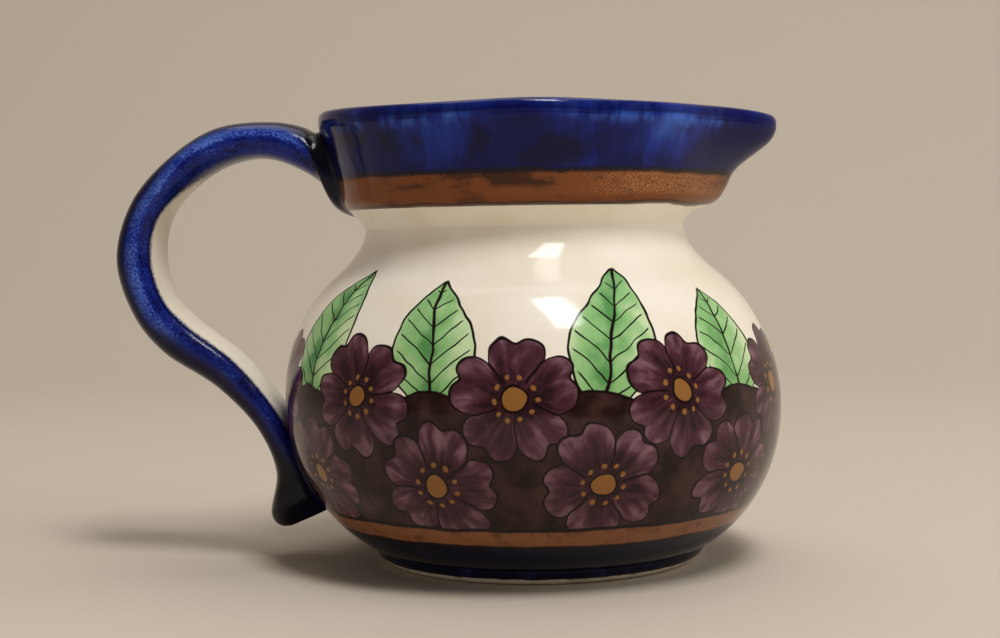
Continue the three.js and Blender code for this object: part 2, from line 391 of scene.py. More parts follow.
# Foot ring, glazed down to a ragged line above its bare standing edge
footSizes = dict(
    standRadius=27.3 * mm,
    width=4 * mm,
    draft=0.6 * mm,
    edge=0.4 * mm,
    glazeFoot=1.2 * mm,  # bare clay below this height
    glazeStep=0.1 * mm,
    glazeThinning=4,  # the higher, the later the glaze thins out upwards
    sideSteps=40,
    edgeSteps=6,
    flatSteps=8,
    lidSteps=4,
    turns=256,
)


def makeFootRing(glaze):
    size = footSizes
    top = jug["footHeight"]
    stand = size["standRadius"]
    inside = stand - size["width"]
    knee = (jug["footTopRadius"] - size["draft"], size["edge"])
    side = bow((stand, 0), knee, (jug["footTopRadius"], top), size["sideSteps"])
    lift = np.clip((side[:, 1] - size["glazeFoot"]) / size["glazeStep"], 0, 1)
    thin = np.clip(side[:, 1] / top, 0, 1) ** size["glazeThinning"]
    side[:, 0] += size["glazeStep"] * lift * (1 - thin)
    sole = bow((inside, size["edge"]), (inside, 0), (inside + size["edge"], 0), size["edgeSteps"])
    flat = bow(sole[-1], ((sole[-1][0] + stand) / 2, 0), side[0], size["flatSteps"])
    wall = bow((inside - size["draft"], top), (inside, top / 2), sole[0], size["flatSteps"])
    lid = bow(side[-1], (stand, top), wall[0], size["lidSteps"])
    profile = chain(sole, flat, side, lid, wall)
    piece = throw("footRing", profile, 0, glaze, size["turns"])
    seat(piece, "foot_clay", "foot_ring")


# Neck slip: the smoothed corner of slip that the collar was luted on with
slipSizes = dict(
    drop=1.1 * mm,  # its foot, below the seam
    corner=0.4 * mm,  # its bend, below the seam
    cornerShare=0.25,  # how far up its slope the bend is felt
    rise=2.1 * mm,  # its top, above the collar's base
    sink=0.05 * mm,
    bendSteps=12,
    slopeSteps=8,
    turns=256,
)


def makeNeckSlip(glaze):
    size = slipSizes
    cove = collarFace()
    seam = jug["seamHeight"]
    topHeight = jug["collarBase"] + size["rise"]
    foot = np.array((jug["neckRadius"] - size["sink"], seam - size["drop"]))
    bend = np.array((jug["neckRadius"] + size["sink"], seam - size["corner"]))
    top = np.array((np.interp(topHeight, cove[:, 1], cove[:, 0]) - size["sink"], topHeight))
    knee = bend + size["cornerShare"] * (top - bend)
    corner = bow(foot, bend, knee, size["bendSteps"])
    fillet = chain(corner, bow(knee, (knee + top) / 2, top, size["slopeSteps"]))
    inside = jug["neckRadius"] - jug["wall"]
    bulge = (inside - size["sink"], seam)
    back = bow((inside, jug["collarBase"]), bulge, (inside, foot[1]), size["slopeSteps"])
    profile = np.vstack((fillet, back, fillet[:1]))
    piece = throw("neckSlip", profile, 0, glaze, size["turns"])
    seat(piece, "neck_glaze", "neck_slip")


# Collar with its rolled rim and pulled lip
collarSizes = dict(
    hemRadius=33.2 * mm,
    hemRise=2.3 * mm,
    hemRound=5,  # profile points cut from each side of the hem's corner
    coveHollow=0.5 * mm,
    rimRadius=37 * mm,
    rimThickness=4.6 * mm,
    rollReach=1.8 * mm,  # from the rim's crown out to its edge
    rollHeight=1.9 * mm,
    rollSquareness=2.7,
    rollStart=-0.58,  # radians below level, where the side runs into the roll
    hollow=0.7 * mm,
    creaseDepth=0.05 * mm,  # groove under the rim's roll
    creaseDrop=2.3 * mm,
    creaseWidth=0.45 * mm,
    coveSteps=12,
    sideSteps=44,
    hemSteps=13,
    rollSteps=24,
    browSteps=18,
    throatSteps=30,
    baseSteps=5,
    turns=400,
)


def rimRoll(reach, start, end, steps):
    size = collarSizes
    crown = np.array((size["rimRadius"] - size["rollReach"], jug["rimHeight"] - size["rollHeight"]))
    corner = squared(np.linspace(start, end, steps), size["rollSquareness"])
    return crown + corner.T * (reach, size["rollHeight"])


def collarFace():
    size = collarSizes
    base = np.array((jug["neckRadius"], jug["collarBase"]))
    hem = np.array((size["hemRadius"], jug["collarBase"] + size["hemRise"]))
    rim = rimRoll(size["rollReach"], size["rollStart"], math.pi / 2, size["rollSteps"])
    cove = bow(base, (base + hem) / 2 - (size["coveHollow"], 0), hem, size["coveSteps"])
    waist = (hem + rim[0]) / 2 - (2 * size["hollow"], 0)
    side = bow(hem, waist, rim[0], size["sideSteps"])
    cut = size["hemRound"]
    corner = bow(cove[-cut - 1], hem, side[cut], size["hemSteps"])
    face = chain(cove[:-cut], corner, side[cut:], rim)
    off = (face[:, 1] - jug["rimHeight"] + size["creaseDrop"]) / size["creaseWidth"]
    face[:, 0] -= size["creaseDepth"] * np.exp(-(off**2))
    return face


def collarBack():
    # the face below the raised part of the rim, where the handle sits
    face = collarFace()
    up = (face[:, 1] - jug["collarBase"]) / (jug["rimHeight"] - jug["collarBase"])
    face[:, 1] += lipSizes["Back Rise"] * up**2
    return face


def makeCollar(glaze):
    size = collarSizes
    face = collarFace()
    browReach = size["rimThickness"] - size["rollReach"]
    inner = rimRoll(browReach, math.pi / 2, math.pi, size["browSteps"])
    shade = (size["hemRadius"] - jug["wall"], jug["collarBase"] + size["hemRise"])
    neck = (jug["neckRadius"] - jug["wall"], jug["collarBase"])
    throat = bow(inner[-1], shade, neck, size["throatSteps"])
    under = bow(neck, (jug["neckRadius"] - jug["wall"] / 2, neck[1]), face[0], size["baseSteps"])
    profile = chain(face, inner, throat, under)
    piece = throw("collarBand", profile, len(face) - 1, glaze, size["turns"], lipSizes)
    seat(piece, "collar_glaze", "collar")


# Handle: a pulled strap between an outer and an inner guide line
handleSizes = dict(
    earBack=7.2 * mm,  # the loop's middle, behind the belly
    earDrop=25.7 * mm,  # and below the rim
    ear=(  # degrees round the loop, outer and inner radius
        (80, 25.7 * mm, 18.7 * mm),
        (105, 25.2 * mm, 18.0 * mm),
        (130, 24.5 * mm, 17.5 * mm),
        (155, 25.25 * mm, 17.8 * mm),
        (180, 25.95 * mm, 17.3 * mm),
        (205, 25.2 * mm, 16.85 * mm),
        (225, 24.7 * mm, 16.1 * mm),
    ),
    width=13.5 * mm,
    squareness=2.5,
    seatDrop=2.5 * mm,
    seatWidth=14.5 * mm,
    seatDepth=2 * mm,
    rootLift=1.2 * mm,
    webLift=1.9 * mm,
    webFoot=-0.5 * mm,
    webArch=1.4 * mm,
    armHeight=32 * mm,
    armReach=13.3 * mm,  # from the belly
    armRise=6 * mm,
    armLift=9.7 * mm,
    kneeHeight=24 * mm,
    kneeReach=6.35 * mm,
    kneeRise=4.1 * mm,
    kneeLift=0.9 * mm,
    tailThickness=5.85 * mm,
    tailTilt=2.2 * mm,
    heelHeight=8.5 * mm,
    heelThickness=12.3 * mm,
    toeReach=2.3 * mm,
    toeDrop=2.8 * mm,
    toe=(  # degrees round the toe, share of the tail's tilt, width
        (45, 1.0, 11.2 * mm),
        (85, 0.5, 9.5 * mm),
    ),
    soleTurn=117,
    tipExit=9.2 * mm,  # where the tail's underside meets the belly
    tipShare=0.4,  # how far the tip runs from the tail's sole to there
    tipWidth=9 * mm,
    tipBulge=0.1 * mm,
    tipSteps=8,
    knotPower=0.5,  # 0 spaces the knots of a guide line evenly, 1 by distance
    steps=280,
    sides=96,
)
outerBelly, _ = bellyFace(0, jug["footHeight"])
outerCollar = collarBack()


def behind(face, height, proud):
    radius = np.interp(height, face[:, 1], face[:, 0])
    return np.array((jug["axis"] - radius - jug["lean"] * height - proud, height))


def handleStations():
    size = handleSizes
    rim = jug["rimHeight"]
    hem = jug["collarBase"] + collarSizes["hemRise"]
    ear = np.array((jug["axis"] - jug["bellyRadius"] - size["earBack"], rim - size["earDrop"]))

    def onEar(degrees, outside, inside):
        angle = math.radians(degrees)
        way = np.array((math.cos(angle), math.sin(angle)))
        return ear + way * outside, ear + way * inside, size["width"]

    def onBelly(height, proud, tilt, width):
        outer = behind(outerBelly, height, proud)
        return outer, behind(outerBelly, height + tilt, -size["seatDepth"]), width

    seatTop = rim - size["seatDrop"]
    webFoot = jug["collarBase"] + size["webFoot"]
    seatEnd = [behind(outerCollar, z, -size["seatDepth"]) for z in (seatTop, webFoot)]
    root = [behind(outerCollar, seatTop, size["rootLift"]), behind(outerCollar, hem, size["webLift"])]
    loop = [onEar(*spoke) for spoke in size["ear"]]
    web = [(seatEnd[0] + loop[0][0]) / 2, (seatEnd[1] + loop[0][1]) / 2 + (0, size["webArch"])]
    arm = (
        behind(outerBelly, size["armHeight"], size["armReach"]),
        behind(outerBelly, size["armHeight"] + size["armRise"], size["armLift"]),
        size["width"],
    )
    knee = (
        behind(outerBelly, size["kneeHeight"], size["kneeReach"]),
        behind(outerBelly, size["kneeHeight"] + size["kneeRise"], size["kneeLift"]),
        size["width"],
    )
    waist = (size["kneeHeight"] + size["heelHeight"]) / 2
    tilt = size["tailTilt"]
    heel = behind(outerBelly, size["heelHeight"], size["heelThickness"])

    def onToe(degrees):
        angle = math.radians(degrees)
        way = np.array((1 - math.cos(angle), -math.sin(angle)))
        return heel + way * (size["toeReach"], size["toeDrop"])

    def inBelly(rise):
        return behind(outerBelly, size["tipExit"] + rise, -size["seatDepth"])

    toe = [(onToe(turn), inBelly(share * tilt), width) for turn, share, width in size["toe"]]
    sole = onToe(size["soleTurn"])
    underside = sole + size["tipShare"] * (behind(outerBelly, size["tipExit"], 0) - sole)
    return [
        (*seatEnd, size["seatWidth"]),
        (*root, size["seatWidth"]),
        (*web, (size["seatWidth"] + size["width"]) / 2),
        *loop,
        arm,
        knee,
        onBelly(waist, size["tailThickness"], tilt / 2, size["width"]),
        (heel, inBelly(2 * tilt), size["width"]),
        *toe,
        (sole, underside, size["tipWidth"]),
    ]


def smoothLine(points, power, along):
    # a smooth line through the points, with knots spaced by distance to the given power
    points = np.asarray(points, float)
    points = points.reshape(len(points), -1)
    ends = (2 * points[0] - points[1], 2 * points[-1] - points[-2])
    padded = np.vstack((ends[0], points, ends[1]))
    place = np.clip(along, 0, 1) * (len(points) - 1)
    i = np.minimum(place.astype(int), len(points) - 2)
    p0, p1, p2, p3 = (padded[i + k] for k in range(4))
    gaps = np.linalg.norm(np.diff(padded, axis=0), axis=1) ** power
    d0, d1, d2 = (gaps[i + k][:, None] for k in range(3))
    leave = ((p1 - p0) / d0 - (p2 - p0) / (d0 + d1) + (p2 - p1) / d1) * d1
    arrive = ((p2 - p1) / d1 - (p3 - p1) / (d1 + d2) + (p3 - p2) / d2) * d1
    t = (place - i)[:, None]
    stay = 2 * t**3 - 3 * t**2 + 1
    return stay * p1 + (1 - stay) * p2 + (t**3 - 2 * t**2 + t) * leave + (t**3 - t**2) * arrive


def strapLines(along):
    outer, inner, width = zip(*handleStations())
    power = handleSizes["knotPower"]
    half = smoothLine(width, 0, along) / 2
    return smoothLine(outer, power, along), smoothLine(inner, power, along), half


def strapTree():
    tree, take = openTree("pulledStrap", ["Squareness"], ["Sides"])
    lines = take("Lines")
    count = countPoints(tree, lines) / 2.0
    net, column, row = drawGrid(tree, take("Sides"), count)
    topX, width, topZ = pickPoint(tree, lines, row)
    underX, _, underZ = pickPoint(tree, lines, row + count)
    angle = column / take("Sides") * math.tau
    square = take("Squareness")
    sine, cosine = angle.do("SINE"), angle.do("COSINE")
    swell = (abs(sine) ** square + abs(cosine) ** square) ** (-1.0 / square)
    face = sine * swell
    x = (topX + underX) / 2.0 + (topX - underX) / 2.0 * face
    z = (topZ + underZ) / 2.0 + (topZ - underZ) / 2.0 * face
    place = joinVector(tree, x, -width * cosine * swell, z)
    marks = {"face": face, "along": row / count}
    closeTree(tree, net, place, marks, take("Glaze"))
    return tree


def makeHandle(glaze):
    size = handleSizes
    outer, inner, half = strapLines(np.linspace(0, 1, size["steps"]))
    # a blunt root inside the collar, and a domed tip
    dome = np.linspace(0, math.pi / 2, size["tipSteps"])[1:]
    middle = (outer[-1] + inner[-1]) / 2
    slope = inner[-1] - outer[-1]
    way = np.array((slope[1], -slope[0])) * size["tipBulge"] / np.linalg.norm(slope)
    shrink = np.cos(dome)[:, None]
    ahead = middle + np.sin(dome)[:, None] * way
    root = (outer[0] + inner[0]) / 2
    outer = np.vstack((root, outer, ahead + (outer[-1] - middle) * shrink))
    inner = np.vstack((root, inner, ahead + (inner[-1] - middle) * shrink))
    half = np.vstack(([[0]], half, half[-1] * shrink))
    lines = [np.column_stack((line[:, 0], half, line[:, 1])) for line in (outer, inner)]
    values = {"Squareness": size["squareness"], "Sides": size["sides"], "Glaze": glaze}
    piece = keepMesh("strapHandle", np.vstack(lines), strapTree(), values)
    seat(piece, "handle_glaze", "handle")


# Handle slips: the smoothed corner of slip round each end of the strap
beadSizes = dict(
    topReach=1.5 * mm,
    tailReach=0.8 * mm,
    rimRoom=1.2 * mm,  # left free below the rim
    sink=0.04 * mm,
    depth=0.8 * mm,
    leastShare=1 / 3,  # of its reach, that the slip keeps near the rim
    rootSpan=2.5,  # stations of the strap among which the collar is met
    tailStation=13,  # a station inside the belly, and how far from it the tail's joint may lie
    tailSpan=2.9,
    halvings=40,
    settlings=3,
    slopeStep=0.2 * mm,
    normalStep=0.05 * mm,
    strapStep=1e-4,  # share of the strap's length
    steps=240,
    bowSteps=9,
)


def strapPoint(along, angle):
    outer, inner, half = strapLines(along)
    edge, face = squared(angle, handleSizes["squareness"])
    flat = (outer + inner) / 2 + (outer - inner) / 2 * face[:, None]
    return np.column_stack((flat[:, 0], -half[:, 0] * edge, flat[:, 1]))


def gapTo(face, points):
    # distance outside a turned face, exact to first order
    radius = np.interp(points[:, 2], face[:, 1], face[:, 0])
    step = beadSizes["slopeStep"]
    higher = np.interp(points[:, 2] + step, face[:, 1], face[:, 0])
    slope = (higher - radius) / step
    across = points[:, 0] - jug["axis"] + jug["lean"] * points[:, 2]
    return (np.hypot(across, points[:, 1]) - radius) / np.hypot(1, slope)


def normalOf(face, points):
    step = beadSizes["normalStep"]
    shifts = [[step * (k == axis) for k in range(3)] for axis in range(3)]
    slope = [gapTo(face, points + shift) - gapTo(face, points - shift) for shift in shifts]
    return unit(np.column_stack(slope))


def unit(vectors):
    return vectors / np.linalg.norm(vectors, axis=1)[:, None]


def jointLoop(face, near, far):
    # halves the way between places inside and outside the face until it meets the strap's skin
    for _ in range(beadSizes["halvings"]):
        middle = (near + far) / 2
        inside = gapTo(face, strapPoint(*middle)) < 0
        near = np.where(inside, middle, near)
        far = np.where(inside, far, middle)
    points = strapPoint(*near)
    steps = np.linalg.norm(np.roll(points, -1, axis=0) - points, axis=1)
    length = np.concatenate(([0], np.cumsum(steps)))
    even = np.linspace(0, length[-1], beadSizes["steps"], endpoint=False)
    closed = np.column_stack((near, near[:, :1]))
    if abs(near[1][-1] - near[1][0]) > math.pi:
        closed[1][-1] += math.tau
    return [np.interp(even, length, line) for line in closed]


def makeBead(name, node, face, loop, reach, glaze):
    size = beadSizes
    along, angle = loop
    corner = strapPoint(along, angle)
    tiny = size["strapStep"]
    alongWay = (strapPoint(along + tiny, angle) - strapPoint(along - tiny, angle)) / (2 * tiny)
    roundWay = (strapPoint(along, angle + tiny) - strapPoint(along, angle - tiny)) / (2 * tiny)
    strapNormal = unit(np.cross(roundWay, alongWay))
    bodyNormal = normalOf(face, corner)
    facing = np.sum(strapNormal * bodyNormal, axis=1)[:, None]
    upStrap = unit(bodyNormal - facing * strapNormal)
    overBody = unit(strapNormal - facing * bodyNormal)
    room = jug["rimHeight"] - size["rimRoom"] - corner[:, 2:]
    reach = np.minimum(reach * (1 + np.clip(-facing, 0, 1)), np.maximum(room, reach * size["leastShare"]))
    ways = np.stack((alongWay, roundWay), axis=2)
    moves = np.linalg.pinv(ways) @ (reach * upStrap)[:, :, None]
    strapEnd = strapPoint(along + moves[:, 0, 0], angle + moves[:, 1, 0])
    bodyEnd = corner + reach * overBody
    for _ in range(size["settlings"]):
        bodyEnd -= gapTo(face, bodyEnd)[:, None] * normalOf(face, bodyEnd)
    strapEnd -= size["sink"] * strapNormal
    bodyEnd -= size["sink"] * bodyNormal
    buried = corner - size["depth"] * unit(strapNormal + bodyNormal)
    rings = []
    for t in np.linspace(0, 1, size["bowSteps"]):
        rings.append((1 - t) ** 2 * strapEnd + 2 * t * (1 - t) * corner + t**2 * bodyEnd)
    rings.append(buried)
    count, sides = len(corner), len(rings)
    faces = []
    for i in range(count):
        for k in range(sides):
            j, m = (i + 1) % count, (k + 1) % sides
            faces.append((k * count + i, m * count + i, m * count + j, k * count + j))
    mesh = bpy.data.meshes.new(name)
    mesh.from_pydata(np.vstack(rings).tolist(), [], faces)
    marks = {"face": squared(angle, handleSizes["squareness"])[1], "along": along}
    for label, values in marks.items():
        mark = mesh.attributes.new(label, "FLOAT", "POINT")
        mark.data.foreach_set("value", np.tile(values, sides).astype(np.float32))
    mesh.materials.append(glaze)
    mesh.shade_smooth()
    piece = bpy.data.objects.new(name, mesh)
    bpy.context.scene.collection.objects.link(piece)
    pointOutwards(mesh)
    seat(piece, "handle_glaze", node)


def pointOutwards(mesh):
    work = bmesh.new()
    work.from_mesh(mesh)
    bmesh.ops.recalc_face_normals(work, faces=work.faces)
    work.to_mesh(mesh)
    work.free()


def makeBeads(glaze):
    size = beadSizes
    last = len(handleStations()) - 1
    ring = np.linspace(0, math.tau, size["steps"], endpoint=False)
    start, end = np.zeros_like(ring), np.full_like(ring, size["rootSpan"] / last)
    top = jointLoop(outerCollar, np.array((start, ring)), np.array((end, ring)))
    makeBead("handleTopSlip", "handle_top_slip", outerCollar, top, size["topReach"], glaze)
    underside = np.full_like(ring, 1.5 * math.pi)
    heart = np.array((np.full_like(ring, size["tailStation"] / last), underside))
    away = np.array((size["tailSpan"] / last * np.cos(ring), 0.5 * math.pi * np.sin(ring)))
    tail = jointLoop(outerBelly, heart, heart + away)
    makeBead("handleTailSlip", "handle_tail_slip", outerBelly, tail, size["tailReach"], glaze)


# Glazes: shared helpers. Sizes in a glaze are millimetres
glass = dict(ior=1.5, specular=0.22)  # the clear coat over every colour


def tint(code):
    parts = [int(code[i:i + 2], 16) / 255 for i in (1, 3, 5)]
    return (*[((part + 0.055) / 1.055) ** 2.4 for part in parts], 1)


def openGlaze(name):
    material = bpy.data.materials.new(name)
    material.use_nodes = True
    return material, material.node_tree


def findPlace(tree):
    # where a point lies: its spot in millimetres, its height, its girth and its turn about the axis
    place = nodeWire(tree, "ShaderNodeTexCoord", output="Object")
    spot = nodeWire(tree, "ShaderNodeVectorMath", {0: place, "Scale": 1 / mm}, operation="SCALE")
    x, y, z = splitVector(tree, spot)
    out = x - jug["axis"] / mm + z * jug["lean"]
    return spot, z, hypot(out, y), y.do("ARCTAN2", out)


def mark(tree, label):
    return nodeWire(tree, "ShaderNodeAttribute", output="Fac", attribute_name=label)


def mottle(tree, spot, size, detail=2.0, stretch=None):
    if stretch:
        spot = nodeWire(tree, "ShaderNodeVectorMath", {0: spot, 1: stretch}, operation="MULTIPLY")
    inputs = {"Vector": spot, "Scale": 1 / size, "Detail": detail}
    return nodeWire(tree, "ShaderNodeTexNoise", inputs)


def chanceOf(tree, cell, seed):
    return nodeWire(tree, "ShaderNodeTexWhiteNoise", {"W": cell + seed}, noise_dimensions="1D")


def lay(tree, under, over, share):
    node = addNode(tree, "ShaderNodeMix", {}, data_type="RGBA")
    for slot, value in ((0, share), (6, under), (7, over)):
        feed(tree, node.inputs[slot], value)
    return Wire(tree, node.outputs[2])


def strongest(*shares):
    top = shares[0]
    for share in shares[1:]:
        top = top.do("MAXIMUM", share)
    return top


def stroke(distance, width, core=0.45):  # a brush line: 1 within its core, 0 beside it
    return distance.fade(width, width * core)


def finishGlaze(tree, colour, rough, relief, depth):
    shader = tree.nodes["Principled BSDF"]
    feed(tree, shader.inputs["Base Color"], colour)
    feed(tree, shader.inputs["Roughness"], rough)
    bump = nodeWire(tree, "ShaderNodeBump", {"Distance": depth * mm, "Height": relief})
    feed(tree, shader.inputs["Normal"], bump)
    shader.inputs["IOR"].default_value = glass["ior"]
    shader.inputs["Specular IOR Level"].default_value = glass["specular"]


# Cream: the plain glaze of the body, faintly clouded and specked with iron.
# A range says where a noise or a distance begins to count, and where it counts in full
creamCoat = dict(
    pale=tint("#f1e8d8"),
    warm=tint("#e4d6bb"),
    cloudSize=14.0,
    cloudRange=(0.35, 0.75),
    cloudShare=0.6,
    iron=tint("#8a6a45"),
    speckSize=0.9,
    speckRange=(0.8, 0.84),
    speckShare=0.5,
    gloss=0.06,
    glossVary=0.08,
    glossSize=3.0,
    waveSize=7.0,
    waveDepth=0.12,
)


def creamColour(tree, spot):
    coat = creamCoat
    cloud = mottle(tree, spot, coat["cloudSize"], 3.0).fade(*coat["cloudRange"])
    colour = lay(tree, coat["pale"], coat["warm"], cloud * coat["cloudShare"])
    speck = mottle(tree, spot, coat["speckSize"], 1.0).fade(*coat["speckRange"])
    return lay(tree, colour, coat["iron"], speck * coat["speckShare"])


def finishCream(tree, spot, colour):
    coat = creamCoat
    rough = mottle(tree, spot, coat["glossSize"]) * coat["glossVary"] + coat["gloss"]
    finishGlaze(tree, colour, rough, mottle(tree, spot, coat["waveSize"], 1.0), coat["waveDepth"])


def neckGlaze():
    material, tree = openGlaze("neckGlaze")
    spot, _, _, _ = findPlace(tree)
    finishCream(tree, spot, creamColour(tree, spot))
    return material


# Belly glaze: cream, with a border of blossoms and leaves above a rust line and a navy foot
border = dict(
    repeats=10.0,
    wobble=1.5,  # how far a line strays to either side
    wobbleSize=9.0,
    washSize=4.5,
    ink=0.34,
    inkSize=5.0,
    soft=0.2,  # half width of a painted edge
    petals=5,
    petalReach=10.6,
    notch=0.13,
    notchWidth=0.22,
    cleft=0.3,
    strokesRound=5.0,  # brushwork on a petal, per radian and per millimetre outwards
    strokesOut=0.2,
    strokeStep=7.3,  # moves the brushwork on from one blossom to the next
    petalRange=(0.2, 1.0),  # a petal pales from its foot to its tip
    petalPaling=0.5,
    petalBrush=1.5,
    petalWash=0.9,
    plumRange=(-0.1, 0.4),
    mauveRange=(0.3, 0.95),
    petalInk=0.8,  # share of the outline's ink
    petalLines=(0.5, 1.5),  # the lines between petals begin this far from the eye
    eyeRadius=2.0,
    eyeRange=(0.15, -0.3),
    dots=10,
    dotRing=3.4,
    dotRadius=0.42,
    dotSoft=0.12,
    upperRow=4.0,
    upperSeed=1.0,
    lowerRow=-10.5,
    lowerSeed=3.0,
    groundTop=3.0,
    groundWave=1.6,
    groundSoft=0.25,
    groundRange=(0.35, 0.7),
    leafFoot=1.0,
    leafLength=22.0,
    leafVary=6.0,
    lengthSeed=9.0,
    leafHalf=7.4,
    leafTilt=0.5,
    tiltSeed=7.0,
    leafPeak=0.8,  # below 1 the leaf is widest below its middle
    leafPaling=0.7,  # towards its edges, and on one side of its rib
    leafSide=0.25,
    leafWash=1.4,
    greenRange=(-0.1, 0.4),
    paleRange=(0.35, 0.95),
    tipSoft=0.3,
    veinGap=3.4,
    veinRise=0.9,
    veinInk=0.75,
    veinRange=(-0.5, -1.1),
    ribInk=1.1,
    rustTop=11.4,
    rustFoot=8.1,
    rustSize=2.0,
    rustRange=(0.15, 0.55),
    navyRange=(0.55, 0.8),
    bandWobble=0.3,
    bandInk=0.45,
    seam=bellyRise() / mm,  # the bowl's inside begins here
    seamSoft=0.2,
    under=(footSizes["standRadius"] - footSizes["width"] / 2) / mm,  # and the floor's underside here
    underSoft=0.3,
    inkColour=tint("#1b0f10"),
    plumDark=tint("#2b171d"),
    plum=tint("#4b2932"),
    mauve=tint("#85606a"),
    eye=tint("#8f6130"),
    ground=tint("#21130f"),
    groundWash=tint("#432a27"),
    leafDeep=tint("#558f50"),
    leaf=tint("#8fbd7b"),
    leafPale=tint("#c8dbaa"),
    rust=tint("#845334"),
    rustDark=tint("#58331c"),
    navy=tint("#0c0d1f"),
    navyThin=tint("#1c2048"),
)


def repeatRound(girth, turn, shift):
    place = turn * (border["repeats"] / math.tau) + shift
    cell = place.do("FLOOR")
    across = (place - cell - 0.5) * girth * (math.tau / border["repeats"])
    return across, cell.do("FLOORED_MODULO", border["repeats"])


def paintBlossoms(tree, colour, across, up, cell, seed, wash, ink):
    # five notched petals round an eye with a ring of dots
    size = border
    part = math.tau / size["petals"]
    reach = hypot(across, up)
    angle = up.do("ARCTAN2", across) + chanceOf(tree, cell, seed) * math.tau
    fold = (angle / part).do("FRACT").swing(part)
    off = abs(fold) * (2 / part)
    notch = (-((off / size["notchWidth"]) ** 2.0)).do("EXPONENT") * size["notch"]
    outline = (1.0 - off ** 4.0 * size["cleft"] - notch) * size["petalReach"]
    edge = reach - outline
    inside = edge.below(0.0, size["soft"])
    seam = reach * (part / 2 - abs(fold)).do("SINE")
    eye = reach - size["eyeRadius"]
    strokes = (angle * size["strokesRound"], reach * size["strokesOut"])
    brushPlace = joinVector(tree, *strokes, cell * size["strokeStep"] + seed)
    brush = mottle(tree, brushPlace, 1.0, 3.0)
    tone = (reach / outline).fade(*size["petalRange"]) * size["petalPaling"]
    tone = tone + brush.swing(size["petalBrush"]) + wash.swing(size["petalWash"])
    petal = lay(tree, size["plumDark"], size["plum"], tone.fade(*size["plumRange"]))
    petal = lay(tree, petal, size["mauve"], tone.fade(*size["mauveRange"]))
    petal = lay(tree, petal, size["eye"], eye.fade(*size["eyeRange"]))
    spread = (angle * (size["dots"] / math.tau)).do("FRACT").swing(math.tau / size["dots"])
    dot = hypot(reach - size["dotRing"], spread * size["dotRing"]) - size["dotRadius"]
    petal = lay(tree, petal, size["eye"], dot.below(0.0, size["dotSoft"]))
    colour = lay(tree, colour, petal, inside)
    thinInk = ink * size["petalInk"]
    between = stroke(seam, thinInk) * inside * eye.fade(*size["petalLines"])
    lines = strongest(stroke(abs(edge), ink), between, stroke(abs(eye), thinInk))
    return lay(tree, colour, size["inkColour"], lines)


def paintLeaves(tree, colour, across, up, cell, wash, ink):
    size = border
    tilt = chanceOf(tree, cell, size["tiltSeed"]).swing(size["leafTilt"])
    side = across - up * tilt
    length = chanceOf(tree, cell, size["lengthSeed"]) * size["leafVary"] + size["leafLength"]
    share = (up / length).do("MAXIMUM", 0.0).do("MINIMUM", 1.0)
    half = (share ** size["leafPeak"] * math.pi).do("SINE") * size["leafHalf"]
    edge = abs(side) - half
    short = (up - length).below(0.0, size["tipSoft"])
    inside = edge.below(0.0, size["soft"]) * short
    tone = (abs(side) / size["leafHalf"]) * size["leafPaling"]
    tone = tone + side.fade(-1.0, 1.0) * size["leafSide"] + wash.swing(size["leafWash"])
    green = lay(tree, size["leafDeep"], size["leaf"], tone.fade(*size["greenRange"]))
    green = lay(tree, green, size["leafPale"], tone.fade(*size["paleRange"]))
    colour = lay(tree, colour, green, inside)
    vein = ((up - abs(side) * size["veinRise"]) / size["veinGap"]).do("FRACT") - 0.5
    veins = stroke(abs(vein) * size["veinGap"], ink * size["veinInk"]) * edge.fade(*size["veinRange"])
    rib = stroke(abs(side), ink * size["ribInk"])
    lines = strongest(stroke(abs(edge), ink), veins, rib * inside) * short
    return lay(tree, colour, size["inkColour"], lines)


